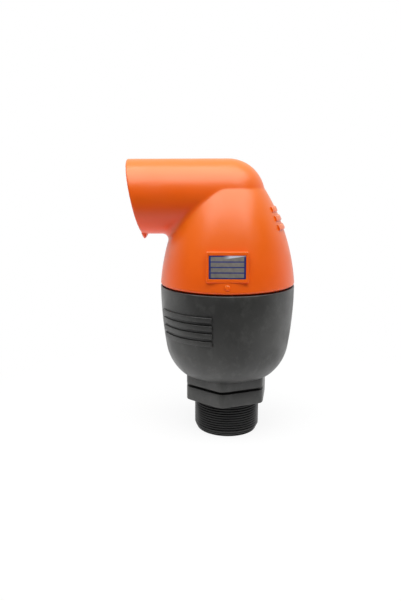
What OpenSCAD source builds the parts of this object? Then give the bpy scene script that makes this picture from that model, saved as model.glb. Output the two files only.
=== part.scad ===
// Air release valve with a two-inch threaded inlet, a screwed cover and a side outlet.
// Millimetres, Z up. The origin is on the valve's axis, at the shoulder where the inlet thread ends.
// The outlet points along -X and the label faces -Y. Every piece is drawn as it lies in a dry valve.

/* [Inlet] */
// Outside diameter of the inlet thread
inlet_d = 59.6; // [56:0.2:62]
// Length of the threaded nipple below the shoulder
inlet_length = 31.5; // [26:0.5:40]
// Bore of the nipple
inlet_bore_d = 47; // [40:0.5:49]
// Chamfer at the end of the nipple
inlet_chamfer = 2; // [1:0.5:3]
// Distance from one turn of the inlet thread to the next, 11 to the inch
thread_pitch = 2.309; // [2:0.001:2.6]
// Depth of the inlet thread
thread_depth = 1.4; // [1:0.1:1.5]
// Width of the hexagon across its flats
hex_af = 70; // [66:0.5:73]
// Height of the slot around the hexagon
hex_slot_h = 2.4; // [1.6:0.2:4]
// Depth of the slot around the hexagon
hex_slot_depth = 3; // [1.5:0.5:4]

/* [Bowl] */
// Way for water and air between the cage and the bowl's wall at the rim
flow_gap = 15.1; // [13:0.1:18]
// Wall of the bowl
bowl_wall = 5; // [4:0.5:6]
// Height of the dry float above the shoulder
inlet_room = 38; // [37:0.5:44]
// Height of the rim above the dry float
rim_over = 4.8; // [2:0.2:8]
// Height above the float's underside at which the bowl's side runs into its round bottom
bowl_turn_rise = 11.2; // [9:0.2:14]
// Radius of the bowl's side in section
side_arc_r = 339; // [300:1:400]
// Radius of the bowl's round bottom in section
bottom_arc_r = 41.25; // [40:0.25:44]
// Radius of the bowl's foot in section, where it turns flat onto the hexagon
foot_arc_r = 13; // [12:0.5:14]

/* [Closure] */
// Wall of the rim around the closure bore
rim_wall = 3.9; // [3.5:0.1:4.4]
// Depth of the closure bore below the rim
closure_depth = 20.8; // [18:0.2:24]
// Height of the open seam between bowl and cover
seam_gap = 1.5; // [1:0.1:2.5]
// Wall of the cover's spigot
spigot_wall = 4; // [3.6:0.1:5]
// Section diameter of the cover's O-ring
cover_ring_d = 2.6; // [2:0.2:3]

/* [Cover] */
// Wall of the dome
cover_wall = 4.5; // [3.5:0.5:6]
// Radius of the dome's side in section
dome_arc_r = 182; // [176:1:190]
// Height of the dome's lower edge above the level at which its side would stand upright
dome_belly_drop = 14.1; // [10:0.1:18]
// Height of the outlet's underside above the neck's flange
neck_h = 4.3; // [3:0.1:8]
// Outside diameter of the outlet
outlet_d = 65.4; // [60:0.2:68]
// Wall of the outlet
outlet_wall = 3; // [2.4:0.2:4]
// Reach of the outlet from the valve's axis
outlet_reach = 82.1; // [74:0.1:100]
// Slant of the outlet's mouth, in degrees
mouth_tilt = 11.1; // [4:0.1:16]
// Drop of the drip lip below the outlet
lip_drop = 4.3; // [2:0.1:6]
// Height of a grip rib above the wall
rib_h = 1.5; // [0.8:0.1:2.5]
// Width of a grip rib on the bowl
bowl_rib_w = 4.2; // [3:0.1:4.8]
// Distance from one grip rib on the bowl to the next
bowl_rib_pitch = 7; // [5.5:0.1:7.2]
// Width of a grip rib on the cover
cover_rib_w = 4.8; // [3:0.1:5.4]
// Distance from one grip rib on the cover to the next
cover_rib_pitch = 7.5; // [6.6:0.1:7.9]

/* [Label] */
// Width of the label plate
plate_w = 30; // [20:0.5:34]
// Height of the label plate
plate_h = 19; // [12:0.5:22]
// Thickness of the label plate
plate_t = 0.6; // [0.4:0.1:0.8]
// Border of the frame beside the plate
frame_side = 2.2; // [1.5:0.1:3]
// Border of the frame above and below the plate
frame_end = 3.1; // [2:0.1:4]
// Backward lean of the label, in degrees
label_tilt = 6; // [3:0.5:9]

/* [Orifices] */
// Bore of the large orifice
orifice_d = 40; // [36:0.5:42]
// Bore of the small orifice
small_orifice_d = 3; // [1.6:0.1:3.6]
// Thickness of the orifice seat's flange
seat_t = 3; // [2.4:0.1:4]

/* [Plug] */
// Rise of the plug from the dry valve to the seat
plug_travel = 12; // [8:0.5:14]
// Diameter of the plug's disc
plug_d = 52; // [52:0.5:56]
// Thickness of the plug's disc
plug_t = 5; // [4:0.5:7]
// Thickness of the rubber seal on the plug
seal_t = 3.8; // [3:0.1:5]
// Thickness of the clamp on the seal
clamp_t = 2.5; // [2:0.1:3.5]
// Distance from the lever's fulcrum to the float's pin
lever_arm = 20; // [20:0.5:21]
// Width of the lever
lever_w = 8; // [8:0.2:10]
// Diameter of the two pins
pin_d = 3.5; // [3:0.1:4]

/* [Float] */
// Diameter of the float
float_d = 72; // [66:0.5:74]
// Height of the float
float_h = 62; // [54:0.5:64]
// Rise of the float that swings the lever shut
float_play = 5; // [4:0.1:5]
// Gap around the float in its cage
float_gap = 2; // [1.5:0.1:3]
// Wall of the cage
cage_wall = 2; // [1.6:0.1:3]

/* [Hidden] */
$fn = 128;

// Fits: running on a pin, pushed into a hole, a loose piece beside its neighbour, a piece at rest on another
run_gap = 0.05;
push_gap = 0.05;
side_gap = 0.4;
rest_gap = 0.3;
over = 1;

// Stack from the shoulder up: float, hanger, lever, nozzle, plug, orifice seat, outlet
pin_r = pin_d / 2;
lever_h = 5;
button_r = 3;
button_h = 3.2;
button_sink = 0.9;
slot_gap = 0.35;
slot_length = 1.4;
boss_r = pin_r + 2.4;
slot_boss_r = pin_r + slot_gap + slot_length / 2 + 1.7;
hanger_t = 2;
nozzle_flange_t = 2.2;
nozzle_tip_h = 1.3;
washer_t = 1;
seal_gap = 0.2;
lever_clear = 1;
float_z = inlet_room;
float_top_z = float_z + float_h;
hanger_pin_z = float_top_z + hanger_t + lever_clear + slot_boss_r;
fulcrum_z = hanger_pin_z + float_play;
nozzle_tip_z = fulcrum_z + lever_h / 2 + button_h - button_sink + seal_gap;
plug_z = nozzle_tip_z + nozzle_tip_h + nozzle_flange_t + washer_t;
plug_top_z = plug_z + plug_t;
seal_top_z = plug_top_z + seal_t;
clamp_top_z = seal_top_z + clamp_t;
seat_face_z = seal_top_z + plug_travel + seal_gap;
flange_z = seat_face_z + seat_t;
outlet_r = outlet_d / 2;
outlet_z = flange_z + neck_h + outlet_r;
rim_z = float_top_z + rim_over;

// Float, cage and bowl, one around the other
float_r = float_d / 2;
cage_in_r = float_r + float_gap;
cage_r = cage_in_r + cage_wall;
body_r = cage_r + flow_gap + bowl_wall;

// Bowl: the side arc stands upright at the rim, and runs smoothly into the bottom arc and that into the foot
bowl_turn = asin((rim_z - float_z - bowl_turn_rise) / side_arc_r);
side_centre = [body_r - side_arc_r, rim_z];
bottom_centre = side_centre + (side_arc_r - bottom_arc_r) * [cos(bowl_turn), -sin(bowl_turn)];
foot_turn = 46;
foot_centre = bottom_centre + (bottom_arc_r - foot_arc_r) * [cos(foot_turn), -sin(foot_turn)];
foot_z = foot_centre.y - foot_arc_r;
inlet_r = inlet_d / 2;
inlet_bore_r = inlet_bore_d / 2;
hex_r = hex_af / sqrt(3);
// Inlet thread, drawn as rings: flat of a crest, flat of a root, number of grooves
thread_land = 0.5;
thread_root = 0.2;
thread_turns = floor((inlet_length - inlet_chamfer - thread_land) / thread_pitch);
// Turn of the hexagon about the axis, with one corner near the front
hex_turn = 23.35;
// Top of the hexagon, run up into the bowl's foot
hex_lap = 2;
hex_top = foot_z + hex_lap;
hex_slot_z = 12.5;

// Closure: spigot of the cover in the bore of the bowl, with the cage's ring under it
bore_r = body_r - rim_wall;
thread_gap = 0.8;
spigot_r = bore_r - thread_gap;
spigot_in_r = spigot_r - spigot_wall;
ledge_z = rim_z - closure_depth;
ring_t = 4;
spigot_end_z = ledge_z + ring_t + rest_gap;
skirt_z = rim_z + seam_gap;
edge_chamfer = 0.7;
cover_ring_r = bore_r - push_gap - cover_ring_d / 2;
cover_ring_rise = 4;
cover_groove_gap = 0.2;
cover_ring_z = spigot_end_z + cover_ring_rise;

// Cover
dome_centre = [body_r - sqrt(pow(dome_arc_r, 2) - pow(dome_belly_drop, 2)), skirt_z - dome_belly_drop];
function dome_r(z) = dome_centre.x + sqrt(pow(dome_arc_r, 2) - pow(z - dome_centre.y, 2));
outlet_in_r = outlet_r - outlet_wall;
dome_top_z = outlet_z + outlet_r / 3;
chamber_top_z = outlet_z - outlet_r / 3;
flange_t = 4;
rib_span = 56;
bowl_rib_from = -158;
// Lowest cover rib and lowest bowl rib
cover_rib_z = outlet_z - 28;
bowl_rib_z = rim_z - 43.5;
rib_reach = 10;
// Drip lip, measured back from the mouth: its span in degrees, root, edge, and what the mouth's cut takes off
lip_span = 24;
lip_root = 10.5;
lip_edge = 8;
lip_past = 2;
mouth_spare = 20;
pip_d = 4.4;
pip_rise = 5.4;
pip_root = 4;
pip_out = 0.8;

// Label
pad_w = plate_w + 2 * frame_side;
pad_h = plate_h + 2 * frame_end;
pad_depth = 8;
recess_depth = plate_t + 0.2;
label_z = skirt_z + 22.2;
label_y = dome_r(label_z - pad_h / 2) + 0.3 - pad_h / 2 * sin(label_tilt);

// Orifice seat in the cover's flange
seat_bore_r = orifice_d / 2;
seat_hole_r = seat_bore_r + 4;
leg_in_r = seat_hole_r + 1.5;
leg_r = leg_in_r + outlet_wall;
seat_flange_r = seat_hole_r + 3.5;
seat_over = 2;
seat_ring_d = 1.8;
seat_groove_gap = 0.15;
seat_ring_z = flange_z + flange_t / 2;
seat_ring_r = seat_hole_r - push_gap - seat_ring_d / 2;

// Plug and what is fixed to it
plug_r = plug_d / 2;
hub_r = 13;
seal_r = plug_r - 1;
clamp_r = seat_bore_r - 2.5;
nozzle_r = 3;
nozzle_x = 9;
nozzle_flange_r = 4.5;
nozzle_tip_r = button_r - 0.8;
nozzle_lap = 0.5;
screw_r = 1.4;
screw_head_r = 2.6;
screw_head_h = 1.8;
clamp_screw_r = 9;
wing_w = 6;
wing_r = cage_in_r - side_gap;

// Lever: level when the small orifice is shut, drooping when the float is down
lever_droop = float_play / lever_arm * 180 / PI;
ear_w = 2 * boss_r;
ear_t = 3;
ear_y = lever_w / 2 + side_gap;

// Float and its hanger
float_round = 12;
float_wall = 2.5;
float_cap_t = 3;
collar_h = 5;
boss_h = 13;
boss_floor = 2;
upright_t = 2.6;
hanger_w = 2 * (ear_y + upright_t) + 2;
hanger_length = 26;
hanger_screw_x = 9.5;

// Cage
cage_floor_t = 2.5;
pad_rise = 1;
pad_r = 2.5;
drain_r = 4;
cage_z = float_z - rest_gap - pad_rise - cage_floor_t;
cup_top_z = float_top_z - 4;
guide_top_z = plug_top_z + plug_travel + 1;
guide_w = 8;
fin_t = 3;
fin_drop = 24;
ring_r = bore_r - rest_gap;
ring_in_r = spigot_in_r - 1;
stop_r = float_r + side_gap;
stop_h = 3;

// Points along an arc
function arc_points(centre, r, from, to, steps) = [for (i = [0:steps])
    centre + r * [cos(from + (to - from) * i / steps), sin(from + (to - from) * i / steps)]];

// Half section of the bowl, drawn in from its outside by the inset
module bowl_section(inset) {
    foot = arc_points(foot_centre, foot_arc_r - inset, -90, -foot_turn, 6);
    bottom = arc_points(bottom_centre, bottom_arc_r - inset, -foot_turn, -bowl_turn, 12);
    side = arc_points(side_centre, side_arc_r - inset, -bowl_turn, 0, 8);
    polygon(concat([[0, foot[0].y]], foot, [for (i = [1:12]) bottom[i]],
        [for (i = [1:8]) side[i]], [[0, rim_z]]));
}

module hexagon() {
    rotate(hex_turn) cylinder(r = hex_r, h = hex_top, $fn = 6);
}

// Slot around four faces of the hexagon; the two faces in the mould's parting stay whole
module hex_slot() {
    core = hex_af - 2 * hex_slot_depth;
    translate([0, 0, hex_slot_z]) linear_extrude(hex_slot_h) difference() {
        circle(r = hex_af);
        intersection() {
            rotate(hex_turn + 30) square([core, 2 * hex_af], center = true);
            rotate(hex_turn + 90) square([core, 2 * hex_af], center = true);
            rotate(hex_turn + 150) square([hex_af + 2, 2 * hex_af], center = true);
        }
    }
}

// Half section of one thread groove, from its lower edge up
function groove_points(z) = let (top = (thread_pitch - thread_land) / 2, root = thread_root / 2)
    [[inlet_r, z - top], [inlet_r - thread_depth, z - root],
        [inlet_r - thread_depth, z + root], [inlet_r, z + top]];

module nipple() {
    grooves = [for (i = [thread_turns - 1:-1:0]) each groove_points(-(i + 0.5) * thread_pitch)];
    end = [[0, -inlet_length], [inlet_r - inlet_chamfer, -inlet_length],
        [inlet_r, inlet_chamfer - inlet_length]];
    rotate_extrude() polygon(concat(end, grooves, [[inlet_r, over], [0, over]]));
}

module bowl_ribs() {
    for (i = [0:3]) rotate(bowl_rib_from) rotate_extrude(angle = rib_span) intersection() {
        bowl_section(-rib_h);
        translate([body_r - rib_reach, bowl_rib_z + i * bowl_rib_pitch]) square([2 * rib_reach, bowl_rib_w]);
    }
}

module lower_body() color("#45474C") difference() {
    union() {
        rotate_extrude() bowl_section(0);
        hexagon();
        nipple();
        bowl_ribs();
    }
    rotate_extrude() bowl_section(bowl_wall);
    translate([0, 0, -inlet_length - over]) cylinder(r = inlet_bore_r, h = inlet_length + bottom_centre.y);
    translate([0, 0, ledge_z]) cylinder(r = bore_r, h = closure_depth + over);
    hex_slot();
    rotate_extrude() polygon([[body_r - edge_chamfer, rim_z], [body_r + over, rim_z - edge_chamfer - over],
        [body_r + over, rim_z + over], [body_r - edge_chamfer, rim_z + over]]);
}

// Basket that shields the float and guides the plug, hung by its ring from the ledge in the bowl
module float_cage() color("#2F3033") {
    difference() {
        translate([0, 0, cage_z]) cylinder(r = cage_r, h = guide_top_z - cage_z);
        translate([0, 0, cage_z + cage_floor_t]) cylinder(r = cage_in_r, h = guide_top_z - cage_z);
        translate([0, 0, cage_z - over]) cylinder(r = drain_r, h = cage_floor_t + 2 * over);
        // Open windows between the four guides
        translate([0, 0, cup_top_z]) linear_extrude(guide_top_z - cup_top_z + over) difference() {
            circle(r = cage_r + over);
            for (a = [45, 135]) rotate(a) square([3 * cage_r, guide_w], center = true);
        }
    }
    // Pads under the float
    for (a = [0:120:240]) rotate(a) translate([float_r / 2, 0, cage_z + cage_floor_t / 2])
        cylinder(r = pad_r, h = pad_rise + cage_floor_t / 2);
    translate([0, 0, ledge_z]) difference() {
        cylinder(r = ring_r, h = ring_t);
        translate([0, 0, -over]) cylinder(r = ring_in_r, h = ring_t + 2 * over);
    }
    for (a = [45:90:315]) rotate(a) {
        translate([cage_r - cage_wall / 2, -fin_t / 2, ledge_z - fin_drop])
            cube([ring_in_r + 1 - cage_r + cage_wall / 2, fin_t, fin_drop + ring_t / 2]);
        // Stop under a wing of the plug
        translate([stop_r, -wing_w / 2, plug_z - rest_gap - stop_h])
            cube([cage_in_r + cage_wall / 2 - stop_r, wing_w, stop_h]);
    }
}

module o_ring(ring_r, section_d, z) {
    translate([0, 0, z]) rotate_extrude() translate([ring_r, 0]) circle(d = section_d);
}

module cover_o_ring() color("#1B1B1C") o_ring(cover_ring_r, cover_ring_d, cover_ring_z);

// Outlet pipe along -X with a ball end on the valve's axis
module outlet_body(r, reach) {
    translate([0, 0, outlet_z]) rotate([0, -90, 0]) rotate_extrude() {
        square([r, reach]);
        intersection() {
            circle(r = r);
            translate([0, -r]) square(r);
        }
    }
}

module dome_section(inset, from, to) {
    intersection() {
        translate(dome_centre) circle(r = dome_arc_r - inset);
        translate([0, from]) square([body_r + 2 * rib_h, to - from]);
    }
}

module drip_lip() {
    translate([0, 0, outlet_z]) rotate([0, -90, 0]) rotate(180 - lip_span / 2)
        rotate_extrude(angle = lip_span)
        polygon([[outlet_r - over, outlet_reach - lip_root], [outlet_r - over, outlet_reach + lip_past],
            [outlet_r + lip_drop, outlet_reach + lip_past], [outlet_r + lip_drop, outlet_reach - lip_edge]]);
}

module mouth_cut() {
    translate([-outlet_reach, 0, outlet_z]) rotate([0, -mouth_tilt, 0])
        translate([-outlet_d, -outlet_d, -outlet_d]) cube([outlet_d, 2 * outlet_d, 2 * outlet_d]);
}

module at_label() {
    translate([0, -label_y, label_z]) rotate([-label_tilt, 0, 0]) children();
}

module label_pad() {
    at_label() translate([-pad_w / 2, 0, -pad_h / 2]) cube([pad_w, pad_depth, pad_h]);
}

module cover_ribs() {
    for (i = [0:2]) rotate(-rib_span / 2) rotate_extrude(angle = rib_span) intersection() {
        dome_section(-rib_h, cover_rib_z + i * cover_rib_pitch,
            cover_rib_z + i * cover_rib_pitch + cover_rib_w);
        translate([body_r / 2, 0]) square([body_r, outlet_z]);
    }
}

module pip() {
    translate([0, pip_root - dome_r(skirt_z + pip_rise), skirt_z + pip_rise]) rotate([90, 0, 0])
        cylinder(d = pip_d, h = pip_root + pip_out);
}

module upper_cover() color("#E8602A") difference() {
    union() {
        rotate_extrude() dome_section(0, skirt_z, dome_top_z);
        translate([0, 0, spigot_end_z]) cylinder(r = spigot_r, h = skirt_z - spigot_end_z + over);
        outlet_body(outlet_r, outlet_reach + mouth_spare);
        drip_lip();
        label_pad();
        cover_ribs();
        pip();
    }
    // Chamber around the valve's neck
    difference() {
        rotate_extrude() intersection() {
            dome_section(cover_wall, spigot_end_z - over, chamber_top_z);
            square([spigot_in_r, outlet_z]);
        }
        outlet_body(outlet_r, outlet_reach);
        translate([0, 0, flange_z]) cylinder(r = leg_r, h = outlet_z - flange_z);
    }
    // Way from the orifice seat to the mouth
    outlet_body(outlet_in_r, outlet_reach + mouth_spare + over);
    translate([0, 0, flange_z + flange_t]) cylinder(r = leg_in_r, h = outlet_z - flange_z - flange_t);
    translate([0, 0, flange_z - over]) cylinder(r = seat_hole_r, h = flange_t + 2 * over);
    mouth_cut();
    // Groove of the O-ring
    translate([0, 0, cover_ring_z - cover_ring_d / 2 - cover_groove_gap]) difference() {
        cylinder(r = spigot_r + over, h = cover_ring_d + 2 * cover_groove_gap);
        cylinder(r = cover_ring_r - cover_ring_d / 2 - push_gap, h = cover_ring_d + 2 * cover_groove_gap);
    }
    at_label() translate([-plate_w / 2 - push_gap, -over, -plate_h / 2 - push_gap])
        cube([plate_w + 2 * push_gap, recess_depth + over, plate_h + 2 * push_gap]);
}

module orifice_seat() color("#D8D4C4") difference() {
    union() {
        translate([0, 0, seat_face_z]) cylinder(r = seat_flange_r, h = seat_t);
        translate([0, 0, seat_face_z])
            cylinder(r = seat_hole_r - push_gap, h = seat_t + flange_t + seat_over);
    }
    translate([0, 0, seat_face_z - over])
        cylinder(r = seat_bore_r, h = seat_t + flange_t + seat_over + 2 * over);
    translate([0, 0, seat_ring_z - seat_ring_d / 2 - seat_groove_gap]) difference() {
        cylinder(r = seat_hole_r + over, h = seat_ring_d + 2 * seat_groove_gap);
        cylinder(r = seat_ring_r - seat_ring_d / 2 - push_gap, h = seat_ring_d + 2 * seat_groove_gap);
    }
}

module seat_o_ring() color("#1B1B1C") o_ring(seat_ring_r, seat_ring_d, seat_ring_z);

module label_plate() color("#34479B") at_label()
    translate([-plate_w / 2, recess_depth - plate_t, -plate_h / 2]) cube([plate_w, plate_t, plate_h]);

// Tab seen from the side: straight, with a round lower end about the origin
module tab_outline(w, h) {
    translate([-w / 2, 0]) square([w, h]);
    intersection() {
        circle(d = w);
        translate([-w / 2, -w]) square([w, w]);
    }
}

// Plate of thickness t that stands in the XZ plane with its near face at y
module upright_plate(y, t) {
    translate([0, y + t, 0]) rotate([90, 0, 0]) linear_extrude(t) children();
}

module at_clamp_screws() {
    for (a = [60:120:300]) rotate(a) translate([clamp_screw_r, 0, 0]) children();
}

module plug() color("#3B3D42") difference() {
    union() {
        translate([0, 0, plug_z]) cylinder(r = plug_r, h = plug_t);
        translate([0, 0, plug_z]) cylinder(r = hub_r, h = plug_t + seal_t);
        intersection() {
            for (a = [45:90:315]) rotate(a)
                translate([plug_r / 2, -wing_w / 2, plug_z]) cube([cage_r, wing_w, plug_t]);
            translate([0, 0, plug_z]) cylinder(r = wing_r, h = plug_t);
        }
        for (y = [ear_y, -ear_y - ear_t]) translate([lever_arm, 0, fulcrum_z])
            upright_plate(y, ear_t) tab_outline(ear_w, plug_z - fulcrum_z + over);
    }
    translate([nozzle_x, 0, plug_z - over]) cylinder(r = nozzle_r + push_gap, h = plug_t + seal_t + 2 * over);
    at_clamp_screws() translate([0, 0, plug_z + over]) cylinder(r = screw_r + push_gap, h = plug_t + seal_t);
    translate([lever_arm, 0, fulcrum_z]) rotate([90, 0, 0])
        cylinder(r = pin_r + push_gap, h = 4 * lever_w, center = true);
}

module kinetic_seal() color("#1B1B1C") translate([0, 0, plug_top_z]) difference() {
    cylinder(r = seal_r, h = seal_t);
    translate([0, 0, -over]) cylinder(r = hub_r + push_gap, h = seal_t + 2 * over);
}

module seal_clamp() color("#D8D4C4") translate([0, 0, seal_top_z]) difference() {
    cylinder(r = clamp_r, h = clamp_t);
    translate([nozzle_x, 0, -over]) cylinder(r = nozzle_r + push_gap, h = clamp_t + 2 * over);
    at_clamp_screws() translate([0, 0, -over]) cylinder(r = screw_r + push_gap, h = clamp_t + 2 * over);
}

module screw(z, length) {
    translate([0, 0, z]) cylinder(r = screw_head_r, h = screw_head_h);
    translate([0, 0, z - length]) cylinder(r = screw_r, h = length + screw_head_h / 2);
}

module clamp_screws() color("#B9BCC0") at_clamp_screws() screw(clamp_top_z, clamp_t + seal_t + plug_t / 2);

// Small orifice, pushed through the plug from below and sealed by a washer
module nozzle() color("#C39A45") translate([nozzle_x, 0, 0]) difference() {
    union() {
        translate([0, 0, plug_z - washer_t - nozzle_flange_t])
            cylinder(r = nozzle_flange_r, h = nozzle_flange_t);
        translate([0, 0, plug_z - washer_t - nozzle_lap])
            cylinder(r = nozzle_r, h = clamp_top_z - plug_z + washer_t + nozzle_lap);
        translate([0, 0, nozzle_tip_z]) cylinder(r1 = nozzle_tip_r, r2 = nozzle_r,
            h = plug_z - washer_t - nozzle_flange_t - nozzle_tip_z + nozzle_lap);
    }
    translate([0, 0, nozzle_tip_z - over])
        cylinder(d = small_orifice_d, h = clamp_top_z - nozzle_tip_z + 2 * over);
}

module nozzle_washer() color("#1B1B1C") translate([nozzle_x, 0, plug_z - washer_t]) difference() {
    cylinder(r = nozzle_flange_r, h = washer_t);
    translate([0, 0, -over]) cylinder(r = nozzle_r + push_gap, h = washer_t + 2 * over);
}

module fulcrum_pin() color("#B9BCC0") translate([lever_arm, 0, fulcrum_z]) rotate([90, 0, 0])
    cylinder(r = pin_r, h = 2 * (ear_y + ear_t), center = true);

// Places what is drawn about the fulcrum of a level lever as it lies in a dry valve
module at_lever() {
    translate([lever_arm, 0, fulcrum_z]) rotate([0, -lever_droop, 0]) children();
}

module lever() color("#D8D4C4") at_lever() difference() {
    rotate([90, 0, 0]) linear_extrude(lever_w, center = true) difference() {
        union() {
            circle(r = boss_r);
            translate([-lever_arm, -lever_h / 2]) square([lever_arm, lever_h]);
            translate([-lever_arm - slot_length / 4, 0]) circle(r = slot_boss_r);
        }
        circle(r = pin_r + run_gap);
        translate([-lever_arm - slot_length / 4, 0])
            square([2 * (pin_r + slot_gap) + slot_length, 2 * (pin_r + slot_gap)], center = true);
    }
    translate([nozzle_x - lever_arm, 0, lever_h / 2 - button_sink])
        cylinder(r = button_r + push_gap, h = lever_h);
}

module lever_button() color("#1B1B1C") at_lever()
    translate([nozzle_x - lever_arm, 0, lever_h / 2 - button_sink]) cylinder(r = button_r, h = button_h);

module at_hanger_screws() {
    for (x = [-hanger_screw_x, hanger_screw_x]) translate([x, 0, 0]) children();
}

// Half section of the float, drawn in from its outside by the inset and cut level at the top
module float_section(inset, top) {
    corner = [float_r - float_round, float_round];
    translate([0, corner.y]) square([float_r - inset, top - corner.y]);
    translate([0, inset]) square([corner.x, corner.y - inset]);
    translate(corner) intersection() {
        circle(r = float_round - inset);
        translate([0, -float_round]) square(float_round);
    }
}

module float_shell() color("#E9E7DF") translate([0, 0, float_z]) rotate_extrude() difference() {
    float_section(0, float_h - float_cap_t);
    float_section(float_wall, float_h);
}

// Lid welded into the shell, with a collar and two bosses for the hanger's screws
module float_cap() color("#DFDDD4") difference() {
    union() {
        translate([0, 0, float_top_z - float_cap_t]) cylinder(r = float_r, h = float_cap_t);
        translate([0, 0, float_top_z - float_cap_t - collar_h]) difference() {
            cylinder(r = float_r - float_wall - push_gap, h = collar_h + float_cap_t / 2);
            translate([0, 0, -over]) cylinder(r = float_r - 2 * float_wall - push_gap, h = collar_h + over);
        }
        at_hanger_screws() translate([0, 0, float_top_z - boss_h]) cylinder(r = 3 * screw_r, h = boss_h);
    }
    at_hanger_screws() translate([0, 0, float_top_z - boss_h + boss_floor])
        cylinder(r = screw_r + push_gap, h = boss_h);
}

module float_hanger() color("#D8D4C4") difference() {
    union() {
        translate([-hanger_length / 2, -hanger_w / 2, float_top_z]) cube([hanger_length, hanger_w, hanger_t]);
        for (y = [ear_y, -ear_y - upright_t]) translate([0, 0, hanger_pin_z])
            upright_plate(y, upright_t) mirror([0, 1, 0])
                tab_outline(ear_w, hanger_pin_z - float_top_z - hanger_t / 2);
    }
    translate([0, 0, hanger_pin_z]) rotate([90, 0, 0])
        cylinder(r = pin_r + push_gap, h = 4 * lever_w, center = true);
    at_hanger_screws() translate([0, 0, float_top_z - over])
        cylinder(r = screw_r + push_gap, h = hanger_t + 2 * over);
}

module hanger_pin() color("#B9BCC0") translate([0, 0, hanger_pin_z]) rotate([90, 0, 0])
    cylinder(r = pin_r, h = 2 * (ear_y + upright_t), center = true);

module hanger_screws() color("#B9BCC0") at_hanger_screws()
    screw(float_top_z + hanger_t, hanger_t + boss_h - 2 * boss_floor);

lower_body();
float_cage();
cover_o_ring();
upper_cover();
orifice_seat();
seat_o_ring();
label_plate();
plug();
kinetic_seal();
seal_clamp();
clamp_screws();
nozzle();
nozzle_washer();
fulcrum_pin();
lever();
lever_button();
float_shell();
float_cap();
float_hanger();
hanger_pin();
hanger_screws();
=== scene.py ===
"""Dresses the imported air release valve: moulded shells, threads, ribs, label, materials and studio."""
import math

import bpy
import numpy as np
from mathutils import Matrix


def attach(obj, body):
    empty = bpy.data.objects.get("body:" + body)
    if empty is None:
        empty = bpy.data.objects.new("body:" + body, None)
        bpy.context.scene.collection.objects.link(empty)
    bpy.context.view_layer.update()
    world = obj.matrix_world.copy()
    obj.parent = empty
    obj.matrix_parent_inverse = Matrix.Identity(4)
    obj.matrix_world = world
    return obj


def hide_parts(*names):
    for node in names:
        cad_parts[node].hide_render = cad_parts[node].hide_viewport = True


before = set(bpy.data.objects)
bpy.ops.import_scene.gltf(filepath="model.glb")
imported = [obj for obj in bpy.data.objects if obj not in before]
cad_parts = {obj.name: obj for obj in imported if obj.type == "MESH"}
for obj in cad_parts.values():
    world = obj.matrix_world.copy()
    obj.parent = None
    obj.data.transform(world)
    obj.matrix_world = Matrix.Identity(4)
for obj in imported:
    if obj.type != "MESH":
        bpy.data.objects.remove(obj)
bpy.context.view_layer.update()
MM = 0.001

# Sizes of the source model, in millimetres
INLET_R = 29.8
INLET_LENGTH = 31.5
INLET_BORE_R = 23.5
THREAD_PITCH = 2.309
THREAD_DEPTH = 1.4
HEX_APOTHEM = 35.0
HEX_TURN = 23.35
HEX_SLOT_Z = 12.5
HEX_SLOT_H = 2.4
HEX_SLOT_DEPTH = 3.0
BODY_R = 60.1
RIM_Z = 104.8
BOWL_WALL = 5.0
SIDE_ARC_R = 339.0
SIDE_ARC_DROP = 55.6
BOTTOM_ARC_R = 41.25
FOOT_ARC_R = 13.0
FOOT_TURN = math.radians(46.0)
BOWL_TURN = math.asin(SIDE_ARC_DROP / SIDE_ARC_R)
SIDE_CENTRE = (BODY_R - SIDE_ARC_R, RIM_Z)
BOTTOM_CENTRE = (
    SIDE_CENTRE[0] + (SIDE_ARC_R - BOTTOM_ARC_R) * math.cos(BOWL_TURN),
    SIDE_CENTRE[1] - (SIDE_ARC_R - BOTTOM_ARC_R) * math.sin(BOWL_TURN),
)
FOOT_CENTRE = (
    BOTTOM_CENTRE[0] + (BOTTOM_ARC_R - FOOT_ARC_R) * math.cos(FOOT_TURN),
    BOTTOM_CENTRE[1] - (BOTTOM_ARC_R - FOOT_ARC_R) * math.sin(FOOT_TURN),
)
CLOSURE_BORE_R = 56.2
LEDGE_Z = 84.0
SKIRT_Z = 106.3
SPIGOT_R = 55.4
SPIGOT_IN_R = 51.4
SPIGOT_END_Z = 88.3
RING_GROOVE_R = 53.5
RING_GROOVE_LOW = 90.8
RING_GROOVE_HIGH = 93.8
DOME_ARC_R = 182.0
DOME_DROP = 14.1
DOME_CENTRE = (BODY_R - math.sqrt(DOME_ARC_R ** 2 - DOME_DROP ** 2), SKIRT_Z - DOME_DROP)
COVER_WALL = 4.5
OUTLET_Z = 183.0
OUTLET_R = 32.7
OUTLET_IN_R = 29.7
OUTLET_REACH = 82.1
MOUTH_TILT = math.radians(11.1)
LEG_R = 28.5
LEG_IN_R = 25.5
FLANGE_Z = 146.0
FLANGE_T = 4.0
SEAT_HOLE_R = 24.0
CHAMBER_TOP_Z = OUTLET_Z - OUTLET_R / 3
DOME_TOP_Z = OUTLET_Z + OUTLET_R / 3
LABEL_Z = 128.5
LABEL_TILT = math.radians(6.0)
LABEL_PROUD = 0.3
PLATE = (30.0, 19.0, 0.6)
FRAME_SIDE = 2.2
FRAME_END = 3.1
RECESS = 0.8
PIP_RISE = 5.4
RIB_SPAN = math.radians(56.0)
RIB_H = 1.5
BOWL_RIB_W = 4.2
BOWL_RIB_PITCH = 7.0
BOWL_RIB_Z = RIM_Z - 43.5
BOWL_RIB_START = math.radians(-158.0)
COVER_RIB_PITCH = 7.5

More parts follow.
